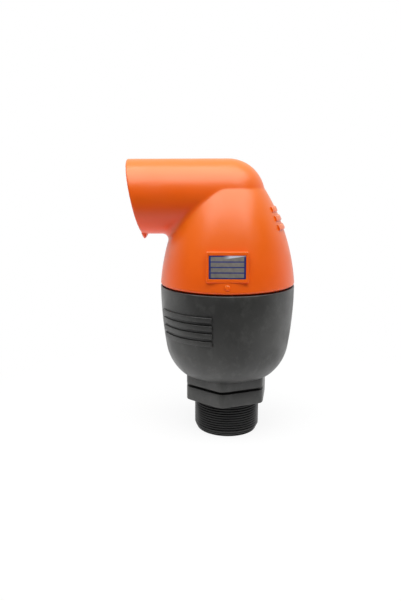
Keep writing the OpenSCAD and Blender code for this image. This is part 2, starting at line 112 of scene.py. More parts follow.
# Sizes of the finer shapes that are made here, in millimetres
LEAD_LENGTH = 5.0
LEAD_DEPTH = 2.4
LEAD_SLOPE = LEAD_DEPTH / LEAD_LENGTH
LEAD_RIDGE = 0.8
THREAD_SINK = 0.2
THREAD_STOP = 0.8
CLOSURE_PITCH = 6.0
CLOSURE_THREAD_Z = 95.8
SKIRT_ROUND = 1.3
MOUTH_ROUND = 1.4
OUTLET_FILLET = 5.0
SKIN_STEP = 1.22
SKIN_LOW = (-92.0, -63.0, 85.0)
SKIN_HIGH = (63.0, 63.0, 219.0)
LIP_DROP = 4.3
LIP_HALF_SPAN = 14.0
COVER_RIB_W = 5.0
COVER_RIB_DEPTH = 2.4
COVER_RIB_MIDDLE_Z = OUTLET_Z - 25.6
LABEL_ROW_Z = LABEL_Z - 8.85
LABEL_ROW_PITCH = 4.42
LABEL_WEAR_Z = LABEL_Z + 6.6

# Place and size of the floor, in metres
FLOOR_HALF = 1.3
FLOOR_FRONT = -0.26
FLOOR_BACK = 1.8


def dome_radius(z):
    """Radius of the dome's outside at a height."""
    return DOME_CENTRE[0] + math.sqrt(DOME_ARC_R ** 2 - (z - DOME_CENTRE[1]) ** 2)


def link_object(name, data):
    """A new object in the scene."""
    obj = bpy.data.objects.new(name, data)
    bpy.context.scene.collection.objects.link(obj)
    return obj


def mesh_object(name, points, faces, sharp_angle=35.0):
    """A smooth-shaded object from points in millimetres, with its faces turned outward."""
    points = np.asarray(points, float)
    mesh = bpy.data.meshes.new(name)
    mesh.from_pydata((points * MM).tolist(), [], faces)
    mesh.update()
    mesh.calc_loop_triangles()
    corners = np.empty(len(mesh.loop_triangles) * 3, dtype=np.int32)
    mesh.loop_triangles.foreach_get("vertices", corners)
    triangles = points[corners.reshape(-1, 3)]
    volume = np.einsum("ij,ij->i", triangles[:, 0], np.cross(triangles[:, 1], triangles[:, 2])).sum()
    if volume < 0:
        mesh.flip_normals()
    mesh.shade_smooth()
    mesh.set_sharp_from_angle(angle=math.radians(sharp_angle))
    return link_object(name, mesh)


def ring_faces(rows, columns, close_rows):
    """Quads between rows of points, where each row is closed."""
    faces = []
    last = rows if close_rows else rows - 1
    for row in range(last):
        upper = (row + 1) % rows
        for column in range(columns):
            beside = (column + 1) % columns
            faces.append((row * columns + column, row * columns + beside,
                          upper * columns + beside, upper * columns + column))
    return faces


def loft(name, loops, sharp_angle=35.0, caps=True):
    """A closed skin over loops of equal length, with capped ends or its last loop joined to its first."""
    loops = np.asarray(loops, float)
    rows, columns = loops.shape[:2]
    faces = ring_faces(rows, columns, not caps)
    if caps:
        faces.append(tuple(reversed(range(columns))))
        faces.append(tuple(range((rows - 1) * columns, rows * columns)))
    return mesh_object(name, loops.reshape(-1, 3), faces, sharp_angle)


# Lower body: one skin whose radius follows the nipple, the slotted hexagon and the bowl
def hex_radius(theta, apothems, sharpness=22.0):
    """Radius of a hexagon with softly rounded corners."""
    total = np.zeros_like(theta)
    for side in range(6):
        normal = math.radians(HEX_TURN + 30 + 60 * side)
        reach = np.cos(theta - normal) / apothems[side % 3]
        total += np.where(reach > 0, reach, 0) ** sharpness
    return total ** (-1 / sharpness)


def body_angles():
    """Angles round the body, closer together near the hexagon's corners."""
    half = [0.0, 0.5, 1.1, 1.9, 3.0, 4.6, 6.8, 9.6, 12.6, 15.8, 19.2, 22.8, 26.4, 30.0]
    sector = half + [60 - a for a in reversed(half[1:-1])]
    return np.radians([HEX_TURN + 60 * k + a for k in range(6) for a in sector])


def arc_stations(centre, radius, start, end, shares):
    """Radii and heights at shares of the way along an arc."""
    angles = [start + (end - start) * share for share in shares]
    return [(centre[0] + radius * np.cos(a), centre[1] + radius * np.sin(a)) for a in angles]


def nipple_outside():
    """Radii and heights of the nipple's core, from its tapered lead up to the hexagon's underside."""
    root = INLET_R - THREAD_DEPTH
    tip = INLET_R - LEAD_DEPTH - LEAD_RIDGE
    end = -INLET_LENGTH
    return [
        (INLET_BORE_R + 0.7, end), (tip - 0.4, end), (tip - 0.1, end + 0.08),
        (tip + 0.5 * LEAD_SLOPE, end + 0.5), (root, end + (root - tip) / LEAD_SLOPE),
        (root, -16), (root, -0.5), (root + 0.12, -0.12), (root + 0.5, 0),
    ]


def hexagon_outside(theta, hexagon):
    """Radii and heights of the hexagon, with a slot in four of its six sides."""
    core = HEX_APOTHEM - HEX_SLOT_DEPTH
    slot = np.minimum(hexagon, hex_radius(theta, (core, core, HEX_APOTHEM + 1)))
    depth = hexagon - slot
    lip = np.minimum(0.12, depth)
    edge = np.minimum(0.45, depth)
    foot = np.minimum(0.3, depth / 3)
    low = HEX_SLOT_Z
    top = HEX_SLOT_Z + HEX_SLOT_H
    return [
        (hexagon - 2, 0), (hexagon - 0.6, 0), (hexagon - 0.2, 0.1), (hexagon - 0.03, 0.35), (hexagon, 0.8),
        (hexagon, 6), (hexagon, low - 0.5), (hexagon - lip, low - 0.1), (hexagon - edge, low),
        (slot + foot, low), (slot, low + 0.3), (slot, top - 0.3), (slot + foot, top),
        (hexagon - edge, top), (hexagon - lip, top + 0.1), (hexagon, top + 0.5),
    ]


def bowl_outside(hexagon):
    """Radii and heights of the bowl's three arcs, from where each meets the hexagon up to the rim."""
    start = -np.arccos((hexagon - FOOT_CENTRE[0]) / FOOT_ARC_R)
    meet = FOOT_CENTRE[1] + FOOT_ARC_R * np.sin(start)
    foot_shares = (0, 0.03, 0.1, 0.2, 0.32, 0.44, 0.56, 0.68, 0.8, 0.9, 1.0)
    stations = [(hexagon, meet - 0.6), (hexagon, meet - 0.15)]
    stations += arc_stations(FOOT_CENTRE, FOOT_ARC_R, start, -FOOT_TURN, foot_shares)
    stations += arc_stations(BOTTOM_CENTRE, BOTTOM_ARC_R, -FOOT_TURN, -BOWL_TURN, np.linspace(0.08, 1, 12))
    stations += arc_stations(SIDE_CENTRE, SIDE_ARC_R, -BOWL_TURN, 0, np.linspace(0.06, 0.98, 16))
    return stations


def bowl_rim():
    """Radii and heights over the rounded rim and down the closure's bore to its ledge."""
    return [
        (BODY_R, RIM_Z - 0.85), (BODY_R - 0.06, RIM_Z - 0.5), (BODY_R - 0.25, RIM_Z - 0.2),
        (BODY_R - 0.55, RIM_Z - 0.04), (BODY_R - 0.95, RIM_Z), (CLOSURE_BORE_R + 0.9, RIM_Z),
        (CLOSURE_BORE_R + 0.3, RIM_Z - 0.12), (CLOSURE_BORE_R, RIM_Z - 0.6), (CLOSURE_BORE_R, 95),
        (CLOSURE_BORE_R, LEDGE_Z), (CLOSURE_BORE_R - 0.8, LEDGE_Z),
    ]


def bowl_inside():
    """Radii and heights of the bowl's inside, from the ledge down through the inlet's bore."""
    side = SIDE_ARC_R - BOWL_WALL
    bottom = BOTTOM_ARC_R - BOWL_WALL
    foot = FOOT_ARC_R - BOWL_WALL
    ledge = math.asin((LEDGE_Z - SIDE_CENTRE[1]) / side)
    floor_z = FOOT_CENTRE[1] - foot
    end = -INLET_LENGTH
    stations = arc_stations(SIDE_CENTRE, side, ledge, -BOWL_TURN, np.linspace(0, 1, 7))
    stations += arc_stations(BOTTOM_CENTRE, bottom, -BOWL_TURN, -FOOT_TURN, np.linspace(0.1, 1, 9))
    stations += arc_stations(FOOT_CENTRE, foot, -FOOT_TURN, -math.pi / 2, np.linspace(0.15, 1, 7))
    stations += [
        (INLET_BORE_R + 0.9, floor_z), (INLET_BORE_R + 0.2, floor_z - 0.2), (INLET_BORE_R, floor_z - 0.9),
        (INLET_BORE_R, -8), (INLET_BORE_R, end + 0.8), (INLET_BORE_R + 0.2, end + 0.2),
    ]
    return stations


def lower_body():
    theta = body_angles()
    hexagon = hex_radius(theta, (HEX_APOTHEM,) * 3)
    stations = nipple_outside() + hexagon_outside(theta, hexagon) + bowl_outside(hexagon)
    stations += bowl_rim() + bowl_inside()
    loops = []
    for radius, z in stations:
        radius = np.broadcast_to(radius, theta.shape)
        z = np.broadcast_to(z, theta.shape)
        loops.append(np.stack([radius * np.cos(theta), radius * np.sin(theta), z], -1))
    return loft("bowl_and_nipple", loops, 32.0, caps=False)


# Cover: a distance field with real fillets, skinned and drawn onto its zero level
def fillet_union(a, b, lean, r):
    """Union of two fields with a fillet of radius r, where lean is the cosine between their slopes."""
    across = a - r
    along = b - r
    square = np.maximum(1 - lean ** 2, 1e-4)
    reach = np.sqrt(np.maximum(across ** 2 + along ** 2 - 2 * lean * across * along, 0) / square)
    between = (across - lean * along < 0) & (along - lean * across < 0)
    return np.where(between, r - reach, np.minimum(a, b))


def round_common(a, b, r):
    """Common part of two fields with its edge rounded to radius r."""
    return np.minimum(-r, np.maximum(a, b)) + np.hypot(np.maximum(r + a, 0), np.maximum(r + b, 0))


def outlet_field(x, y, z, r):
    """Pipe along -X with a ball end on the valve's axis."""
    return np.sqrt(np.maximum(x, 0) ** 2 + y ** 2 + (z - OUTLET_Z) ** 2) - r


def drum_field(radius, z, r, low, high):
    """Upright cylinder of radius r between two heights."""
    return np.maximum(radius - r, np.maximum(low - z, z - high))


def cover_field(p):
    """Signed distance to the cover's wall, in millimetres."""
    x, y, z = p[..., 0], p[..., 1], p[..., 2]
    radius = np.hypot(x, y)
    arc = np.hypot(radius - DOME_CENTRE[0], z - DOME_CENTRE[1])
    dome = round_common(arc - DOME_ARC_R, SKIRT_Z - z, SKIRT_ROUND)
    dome = np.maximum(dome, z - DOME_TOP_Z)
    outlet = outlet_field(x, y, z, OUTLET_R)
    away = np.maximum(radius, 1e-6)
    lean = ((radius - DOME_CENTRE[0]) / arc * (np.maximum(x, 0) * x + y * y) / away
            + (z - DOME_CENTRE[1]) / arc * (z - OUTLET_Z)) / np.maximum(outlet + OUTLET_R, 1e-6)
    outside = fillet_union(dome, outlet, np.clip(lean, -0.5, 1), OUTLET_FILLET)
    outside = np.minimum(outside, drum_field(radius, z, SPIGOT_R, SPIGOT_END_Z, SKIRT_Z + 2))
    leg = drum_field(radius, z, LEG_R, FLANGE_Z, OUTLET_Z)
    chamber = np.maximum(arc - DOME_ARC_R + COVER_WALL, radius - SPIGOT_IN_R)
    chamber = np.maximum(chamber, z - CHAMBER_TOP_Z)
    chamber = np.maximum(chamber, -np.minimum(leg, outlet))
    flange_top = FLANGE_Z + FLANGE_T
    way = outlet_field(x, y, z, OUTLET_IN_R)
    way = np.minimum(way, drum_field(radius, z, LEG_IN_R, flange_top, OUTLET_Z))
    way = np.minimum(way, drum_field(radius, z, SEAT_HOLE_R, FLANGE_Z - 2, flange_top + 2))
    wall = np.maximum(np.maximum(outside, -chamber), -way)
    groove = np.maximum(RING_GROOVE_LOW - z, z - RING_GROOVE_HIGH)
    groove = np.maximum(RING_GROOVE_R - radius, groove)
    wall = np.maximum(wall, -groove)
    mouth = -(x + OUTLET_REACH) * math.cos(MOUTH_TILT) - (z - OUTLET_Z) * math.sin(MOUTH_TILT)
    return round_common(wall, mouth, MOUTH_ROUND)


def neighbour_mean(points, edges):
    """Mean of each point's neighbours."""
    total = np.zeros_like(points)
    count = np.zeros(len(points))
    for a, b in ((0, 1), (1, 0)):
        np.add.at(total, edges[:, a], points[edges[:, b]])
        np.add.at(count, edges[:, a], 1)
    return total / count[:, None]


def field_gradient(field, points, step=0.05):
    """Slope of a field at points, from a step to either side."""
    gradient = np.empty_like(points)
    for axis in range(3):
        shift = np.zeros(3)
        shift[axis] = step
        gradient[:, axis] = (field(points + shift) - field(points - shift)) / (2 * step)
    return gradient


def onto_field(field, points, rounds=3, reach=0.6):
    """Draws points onto the field's zero level."""
    for _ in range(rounds):
        gradient = field_gradient(field, points)
        size = np.maximum((gradient ** 2).sum(1), 0.2)
        move = np.clip(field(points) / size, -reach, reach)
        points = points - gradient * move[:, None]
    return points


def field_values(field, axes):
    """A field's values on a grid, worked out layer by layer."""
    values = np.empty(tuple(len(a) for a in axes))
    for layer, x in enumerate(axes[0]):
        y, z = np.meshgrid(axes[1], axes[2], indexing="ij")
        values[layer] = field(np.stack([np.full_like(y, x), y, z], -1))
    return values


def crossed_cells(inside, cells):
    """Grid cells with corners on both sides of the zero level, and each one's number."""
    count = np.zeros(cells, dtype=np.int8)
    for dx in (0, 1):
        for dy in (0, 1):
            for dz in (0, 1):
                count += inside[dx:dx + cells[0], dy:dy + cells[1], dz:dz + cells[2]]
    active = np.argwhere((count > 0) & (count < 8))
    index = np.full(cells, -1, dtype=np.int64)
    index[tuple(active.T)] = np.arange(len(active))
    return active, index


def cell_points(values, active):
    """One point in each crossed cell, at the mean of its edges' crossings, in grid steps."""
    total = np.zeros((len(active), 3))
    crossings = np.zeros(len(active))
    for axis in range(3):
        others = [a for a in range(3) if a != axis]
        for u in (0, 1):
            for v in (0, 1):
                near = active.copy()
                near[:, others[0]] += u
                near[:, others[1]] += v
                far = near.copy()
                far[:, axis] += 1
                a = values[tuple(near.T)]
                b = values[tuple(far.T)]
                crossed = (a < 0) != (b < 0)
                share = np.where(crossed, a / np.where(crossed, a - b, 1), 0)
                point = near.astype(float)
                point[:, axis] += share
                total[crossed] += point[crossed]
                crossings[crossed] += 1
    return total / crossings[:, None]


def cell_faces(inside, cells, index):
    """A quad round each grid edge that crosses the zero level, turned outward."""
    faces = []
    for axis in range(3):
        u, v = (axis + 1) % 3, (axis + 2) % 3
        ahead = np.roll(inside, -1, axis)
        crossed = np.argwhere(inside != ahead)
        whole = (crossed[:, axis] < cells[axis]) & (crossed[:, u] > 0) & (crossed[:, v] > 0)
        crossed = crossed[whole]
        quad = []
        for du, dv in ((1, 1), (0, 1), (0, 0), (1, 0)):
            cell = crossed.copy()
            cell[:, u] -= du
            cell[:, v] -= dv
            quad.append(index[tuple(cell.T)])
        quad = np.stack(quad, -1)
        turn = ~inside[tuple(crossed.T)]
        quad[turn] = quad[turn][:, ::-1]
        faces.append(quad)
    return np.concatenate(faces)


def skin_field(name, field, low, high, step):
    """A closed quad skin over the zero level of a field, evened out and drawn onto it."""
    values = field_values(field, [np.arange(low[i], high[i] + step, step) for i in range(3)])
    inside = values < 0
    cells = tuple(n - 1 for n in values.shape)
    active, index = crossed_cells(inside, cells)
    points = np.asarray(low) + cell_points(values, active) * step
    faces = cell_faces(inside, cells, index)
    edges = np.concatenate([faces[:, [i, (i + 1) % 4]] for i in range(4)])
    for _ in range(4):
        points = onto_field(field, points * 0.5 + neighbour_mean(points, edges) * 0.5, 2)
    points = onto_field(field, points, 3, 0.3)
    return mesh_object(name, points, faces.tolist(), 50.0)


def upper_cover():
    return skin_field("dome_and_outlet", cover_field, SKIN_LOW, SKIN_HIGH, SKIN_STEP)


# Label frame, label film, moulding pip and drip lip
def at_label(points):
    """Turns points given across, into and up the label's face to the valve's frame."""
    half = PLATE[1] / 2 + FRAME_END
    face = dome_radius(LABEL_Z - half) + LABEL_PROUD - half * math.sin(LABEL_TILT)
    points = np.asarray(points, float)
    y = points[..., 1] * math.cos(LABEL_TILT) + points[..., 2] * math.sin(LABEL_TILT)
    z = -points[..., 1] * math.sin(LABEL_TILT) + points[..., 2] * math.cos(LABEL_TILT)
    return np.stack([points[..., 0], y - face, z + LABEL_Z], -1)


def rectangle_loop(width, height, corner, depth, steps=5):
    """A rectangle with round corners in the label's plane, at a depth behind its face."""
    points = []
    for k, (sx, sz) in enumerate(((1, 1), (-1, 1), (-1, -1), (1, -1))):
        for i in range(steps + 1):
            angle = math.radians(90 * k + 90 * i / steps)
            points.append((sx * (width / 2 - corner) + corner * math.cos(angle), depth,
                           sz * (height / 2 - corner) + corner * math.sin(angle)))
    return points


def label_frame():
    width = PLATE[0] + 2 * FRAME_SIDE
    height = PLATE[1] + 2 * FRAME_END
    loops = [rectangle_loop(width, height, 0.9, 7.5)]
    for inset, depth in ((0, 0.6), (0.08, 0.25), (0.3, 0.05), (0.6, 0)):
        loops.append(rectangle_loop(width - 2 * inset, height - 2 * inset, 0.9, depth))
    for outset, depth in ((0.5, 0), (0.25, 0.05), (0.12, 0.25), (0.1, RECESS)):
        loops.append(rectangle_loop(PLATE[0] + 2 * outset, PLATE[1] + 2 * outset, 0.6, depth))
    return loft("label_frame", [at_label(loop) for loop in loops], 40.0)


def label_film():
    back = RECESS - 0.02
    front = RECESS - PLATE[2]
    loops = []
    for inset, depth in ((0, back), (0, front + 0.12), (0.05, front + 0.03), (0.15, front)):
        loops.append(rectangle_loop(PLATE[0] - 2 * inset, PLATE[1] - 2 * inset, 0.7, depth))
    return loft("label_film", [at_label(loop) for loop in loops], 40.0)


def moulding_pip():
    z = SKIRT_Z + PIP_RISE
    wall = dome_radius(z)
    lean = math.atan2(z - DOME_CENTRE[1], wall - DOME_CENTRE[0])
    angles = np.linspace(0, 2 * math.pi, 32, endpoint=False)
    profile = ((2.6, -1.5), (2.5, -0.15), (2.3, 0.1), (2.15, 0.5), (1.9, 0.72), (1.5, 0.8), (0.4, 0.82))
    loops = []
    for radius, rise in profile:
        across = radius * np.cos(angles)
        up = radius * np.sin(angles)
        out = wall + rise * math.cos(lean) - up * math.sin(lean)
        loops.append(np.stack([across, -out, z + rise * math.sin(lean) + up * math.cos(lean)], -1))
    return loft("moulding_pip", loops, 60.0)


def drip_lip():
    """A hook under the outlet's mouth that runs out to nothing at both ends."""
    loops = []
    for turn in np.linspace(-1, 1, 33):
        angle = math.radians(LIP_HALF_SPAN * turn)
        drop = LIP_DROP * (1 - abs(turn) ** 2.4)
        profile = (
            (-1.2, -11.9), (-0.1, -11.0), (drop * 0.3, -10.4), (drop * 0.6, -9.7), (drop * 0.88, -8.8),
            (drop, -8.1), (drop * 0.97, -7.4), (drop * 0.6, -6.4), (drop * 0.2, -5.9), (-1.2, -6.1),
        )
        loop = []
        for rise, along in profile:
            radius = OUTLET_R + rise
            x = -(OUTLET_REACH + along)
            loop.append((x, radius * math.sin(angle), OUTLET_Z - radius * math.cos(angle)))
        loops.append(loop)
    return loft("drip_lip", loops, 40.0)


# Helpers for geometry and shader nodes
def input_of(node, key):
    """A node's input by its label, with underscores for blanks, or by its number, as in i0."""
    if key[0] == "i" and key[1:].isdigit():
        return node.inputs[int(key[1:])]
    return node.inputs[key.replace("_", " ")]


def feed(tree, node, **values):
    """Links each value that is a socket to the node's input, and sets any other."""
    for key, value in values.items():
        socket = input_of(node, key)
        if isinstance(value, bpy.types.NodeSocket):
            tree.links.new(value, socket)
        else:
            socket.default_value = value


def put(tree, kind, settings=None, **values):
    """Adds a node with its settings and inputs."""
    node = tree.nodes.new(kind)
    for key, value in (settings or {}).items():
        setattr(node, key, value)
    feed(tree, node, **values)
    return node


def result(tree, kind, settings=None, **values):
    """First output of a new node."""
    return put(tree, kind, settings, **values).outputs[0]


def maths(tree, operation, *values):
    """Result of a math node on its values in order."""
    numbered = {"i%d" % place: value for place, value in enumerate(values)}
    return result(tree, "ShaderNodeMath", {"operation": operation}, **numbered)


def length_of(tree, vector):
    """Length of a vector."""
    return put(tree, "ShaderNodeVectorMath", {"operation": "LENGTH"}, i0=vector).outputs["Value"]


def parts_of(tree, vector):
    """The three parts of a vector."""
    return put(tree, "ShaderNodeSeparateXYZ", Vector=vector).outputs


# Geometry Nodes trees for what repeats or follows a path
def node_tree(name, numbers, counts):
    """An empty geometry tree with named inputs, a material input and a geometry output."""
    tree = bpy.data.node_groups.new(name, "GeometryNodeTree")
    tree.interface.new_socket("Geometry", in_out="OUTPUT", socket_type="NodeSocketGeometry")
    for label in numbers:
        tree.interface.new_socket(label, in_out="INPUT", socket_type="NodeSocketFloat")
    for label in counts:
        tree.interface.new_socket(label, in_out="INPUT", socket_type="NodeSocketInt")
    tree.interface.new_socket("Material", in_out="INPUT", socket_type="NodeSocketMaterial")
    return tree, tree.nodes.new("NodeGroupInput").outputs


def finish_tree(tree, geometry, material):
    """Ends a tree with plain geometry in its material."""
    solid = result(tree, "GeometryNodeRealizeInstances", Geometry=geometry)
    dressed = result(tree, "GeometryNodeSetMaterial", Geometry=solid, Material=material)
    put(tree, "NodeGroupOutput", Geometry=dressed)


def swept(tree, path, outline):
    """A mesh of an outline that is swept upright along a path, with closed ends."""
    upright = result(tree, "GeometryNodeSetCurveNormal", {"mode": "Z_UP"}, Curve=path)
    return result(tree, "GeometryNodeCurveToMesh", Curve=upright, Profile_Curve=outline, Fill_Caps=True)


def helix_tree():
    """A trapezoid ridge wound on a cylinder, drawn in along its lead and cut off level at its end."""
    tree, given = node_tree("helix_ridge", (
        "Turns", "Pitch", "Radius", "Ridge", "Foot", "Crest", "Base",
        "Lead Top", "Lead Slope", "End"), ("Steps",))
    height = maths(tree, "MULTIPLY", given["Turns"], given["Pitch"])
    path = result(tree, "GeometryNodeCurveSpiral", Resolution=given["Steps"], Rotations=given["Turns"],
                  Start_Radius=given["Radius"], End_Radius=given["Radius"], Height=height)
    outline = result(tree, "GeometryNodeCurvePrimitiveQuadrilateral", {"mode": "TRAPEZOID"},
                     Bottom_Width=given["Foot"], Top_Width=given["Crest"], Height=given["Ridge"], Offset=0.0)
    outward = result(tree, "GeometryNodeTransform", Geometry=outline, Rotation=(0.0, 0.0, math.pi / 2))
    ridge = swept(tree, path, outward)
    base = result(tree, "ShaderNodeCombineXYZ", Z=given["Base"])
    placed = result(tree, "GeometryNodeTransform", Geometry=ridge, Translation=base)
    part = parts_of(tree, result(tree, "GeometryNodeInputPosition"))
    level = result(tree, "ShaderNodeCombineXYZ", X=part[0], Y=part[1])
    reach = length_of(tree, level)
    below = maths(tree, "MAXIMUM", maths(tree, "SUBTRACT", given["Lead Top"], part[2]), 0.0)
    inward = maths(tree, "MULTIPLY", below, given["Lead Slope"])
    share = maths(tree, "DIVIDE", maths(tree, "SUBTRACT", reach, inward), reach)
    drawn_in = result(tree, "ShaderNodeVectorMath", {"operation": "SCALE"}, i0=level, Scale=share)
    upward = result(tree, "ShaderNodeCombineXYZ", Z=maths(tree, "MAXIMUM", part[2], given["End"]))
    moved = result(tree, "ShaderNodeVectorMath", {"operation": "ADD"}, i0=drawn_in, i1=upward)
    tapered = result(tree, "GeometryNodeSetPosition", Geometry=placed, Position=moved)
    finish_tree(tree, tapered, given["Material"])
    return tree


def rib_tree():
    """Ribs stacked up a wall whose side is an arc, each bent round the axis."""
    tree, given = node_tree("grip_ribs", (
        "Pitch", "First", "Width", "Depth", "Round", "Lean", "Start", "Span",
        "Wall Radius", "Arc Radius", "Arc Centre Z", "Arc Centre R"), ("Count",))
    path = result(tree, "GeometryNodeCurveArc", {"mode": "RADIUS"}, Resolution=60,
                  Radius=given["Wall Radius"], Start_Angle=given["Start"], Sweep_Angle=given["Span"])
    outline = result(tree, "GeometryNodeCurvePrimitiveQuadrilateral", {"mode": "RECTANGLE"},
                     Width=given["Depth"], Height=given["Width"])
    softened = result(tree, "GeometryNodeFilletCurve", {"mode": "POLY"}, Curve=outline,
                      Radius=given["Round"], Count=4)
    lean = result(tree, "ShaderNodeCombineXYZ", Z=given["Lean"])
    leaning = result(tree, "GeometryNodeTransform", Geometry=softened, Rotation=lean)
    rib = swept(tree, path, leaning)
    first = result(tree, "ShaderNodeCombineXYZ", Z=given["First"])
    step = result(tree, "ShaderNodeCombineXYZ", Z=given["Pitch"])
    stack = result(tree, "GeometryNodeMeshLine", {"mode": "OFFSET"}, Count=given["Count"],
                   Start_Location=first, Offset=step)
    part = parts_of(tree, result(tree, "GeometryNodeInputPosition"))
    above = maths(tree, "SUBTRACT", part[2], given["Arc Centre Z"])
    above_square = maths(tree, "MULTIPLY", above, above)
    arc_square = maths(tree, "MULTIPLY", given["Arc Radius"], given["Arc Radius"])
    chord = maths(tree, "SQRT", maths(tree, "SUBTRACT", arc_square, above_square))
    wall = maths(tree, "ADD", chord, given["Arc Centre R"])
    share = maths(tree, "DIVIDE", wall, given["Wall Radius"])
    scale = result(tree, "ShaderNodeCombineXYZ", X=share, Y=share, Z=1.0)
    ribs = result(tree, "GeometryNodeInstanceOnPoints", Points=stack, Instance=rib, Scale=scale)
    finish_tree(tree, ribs, given["Material"])
    return tree


def from_tree(name, tree, values, sharp_angle):
    """Runs a tree with these inputs and keeps the result as a plain mesh."""
    obj = link_object(name, bpy.data.meshes.new(name))
    modifier = obj.modifiers.new(name, "NODES")
    modifier.node_group = tree
    for item in tree.interface.items_tree:
        if item.in_out == "INPUT":
            modifier[item.identifier] = values[item.name]
    evaluated = obj.evaluated_get(bpy.context.evaluated_depsgraph_get())
    mesh = bpy.data.meshes.new_from_object(evaluated)
    obj.modifiers.clear()
    obj.data = mesh
    mesh.name = name
    mesh.shade_smooth()
    mesh.set_sharp_from_angle(angle=math.radians(sharp_angle))
    return obj


# Materials
def srgb(red, green, blue):
    """A display colour of 0 to 255 as a linear colour."""
    linear = []
    for value in (red, green, blue):
        value /= 255
        linear.append(value / 12.92 if value <= 0.04045 else ((value + 0.055) / 1.055) ** 2.4)
    return (*linear, 1.0)


def new_material(name):
    """A new material with its tree and its shader."""
    material = bpy.data.materials.new(name)
    material.use_nodes = True
    tree = material.node_tree
    return material, tree, tree.nodes["Principled BSDF"]


def object_place(tree):
    """Object coordinates."""
    return put(tree, "ShaderNodeTexCoord").outputs["Object"]


def noise(tree, scale, detail, roughness=0.5, stretch=(1, 1, 1)):
    """Noise on object coordinates, stretched along the axes."""
    place = result(tree, "ShaderNodeMapping", Vector=object_place(tree), Scale=stretch)
    return result(tree, "ShaderNodeTexNoise", Vector=place, Scale=scale, Detail=detail, Roughness=roughness)


def spread(tree, value, low, high, to_low, to_high):
    """Maps a value from one range to another and holds it there."""
    return result(tree, "ShaderNodeMapRange", Value=value, From_Min=low, From_Max=high,
                  To_Min=to_low, To_Max=to_high)


def mix(tree, share, first, second):
    """Mixes two colours by a share of the second."""
    return put(tree, "ShaderNodeMix", {"data_type": "RGBA"}, i0=share, i6=first, i7=second).outputs[2]


def painted_sheen_and_shade(tree, body, under, top):
    """A colour with painted light: a deeper, redder tone on the underside as painted shade and a paler,
    yellower tone on the upper side as a painted sheen.
    """
    normal = put(tree, "ShaderNodeNewGeometry").outputs["Normal"]
    upward = parts_of(tree, normal)[2]
    # Painted shade: the underside turns to a deeper, redder tone.
    body = mix(tree, spread(tree, upward, -0.55, -0.05, 1, 0), body, under)
    # Painted sheen: the upper side turns to a paler, yellower tone.
    return mix(tree, spread(tree, upward, 0.15, 0.75, 0, 1), body, top)


def with_thread_shade(tree, body, groove, crest):
    """A colour that turns to painted shade on the thread below the hexagon, darker in its groove than on its
    crest.
    """
    part = parts_of(tree, object_place(tree))
    level = result(tree, "ShaderNodeCombineXYZ", X=part[0], Y=part[1])
    height = spread(tree, length_of(tree, level), (INLET_R - 0.9) * MM, (INLET_R - 0.1) * MM, 0, 1)
    thread_shade = mix(tree, height, groove, crest)
    # Painted shade: below the hexagon the colour turns to the thread's dark tones.
    return mix(tree, spread(tree, part[2], -1.2 * MM, -0.2 * MM, 1, 0), body, thread_shade)


def moulded(name, colours, scuff, rough, scuff_level=0.7, specular=0.5, sheen_and_shade_tones=None, hollow_shade=None, thread_shade=None):
    """Moulded plastic: a slow change between two tones, faint scuffs and fine grain.

    Optional tones paint light: a pair of tones gives painted shade on the underside and a painted sheen on
    the upper side, a tone for hollows is painted shade there, and a pair of tones for the thread's groove
    and crest is painted shade on the thread.
    """
    material, tree, shader = new_material(name)
    tone = spread(tree, noise(tree, 22, 3), 0.35, 0.65, 0, 1)
    body = mix(tree, tone, *colours)
    worn = noise(tree, 130, 7, 0.7, (1, 1, 0.75))
    body = mix(tree, spread(tree, worn, scuff_level, scuff_level + 0.2, 0, 0.36), body, scuff)
    # Painted sheen on the upper side and painted shade on the underside.
    if sheen_and_shade_tones:
        body = painted_sheen_and_shade(tree, body, *sheen_and_shade_tones)
    if hollow_shade:
        # Painted shade: hollows found by ambient occlusion turn towards a dark tone.
        hollow = put(tree, "ShaderNodeAmbientOcclusion", {"samples": 8}, Distance=4 * MM).outputs["AO"]
        body = mix(tree, spread(tree, hollow, 0.4, 0.9, 0.9, 0), body, hollow_shade)
    # Painted shade on the thread, darker in its groove than on its crest.
    if thread_shade:
        body = with_thread_shade(tree, body, *thread_shade)
    gloss = spread(tree, noise(tree, 60, 5), 0.3, 0.7, *rough)
    grain = result(tree, "ShaderNodeBump", Height=noise(tree, 2200, 2), Strength=0.35, Distance=0.06 * MM)
    feed(tree, shader, Base_Color=body, Roughness=gloss, Normal=grain, Specular_IOR_Level=specular)
    return material


def turned_metal(name, colour, shade, rough):
    """Metal with fine lines from turning."""
    material, tree, shader = new_material(name)
    lines = noise(tree, 900, 3, 0.6, (1, 0.05, 1))
    body = mix(tree, spread(tree, lines, 0.35, 0.65, 0, 1), colour, shade)
    gloss = spread(tree, lines, 0.3, 0.7, rough - 0.06, rough + 0.08)
    feed(tree, shader, Base_Color=body, Roughness=gloss, Metallic=1.0)
    return material


def rubber(name):
    """Black rubber with a dull, fine grain."""
    material, tree, shader = new_material(name)
    tone = spread(tree, noise(tree, 120, 4), 0.35, 0.65, 0, 1)
    body = mix(tree, tone, srgb(30, 30, 31), srgb(40, 40, 41))
    gloss = spread(tree, noise(tree, 400, 3), 0.3, 0.7, 0.55, 0.75)
    grain = result(tree, "ShaderNodeBump", Height=noise(tree, 1500, 2), Strength=0.3, Distance=0.05 * MM)
    feed(tree, shader, Base_Color=body, Roughness=gloss, Normal=grain)
    return material


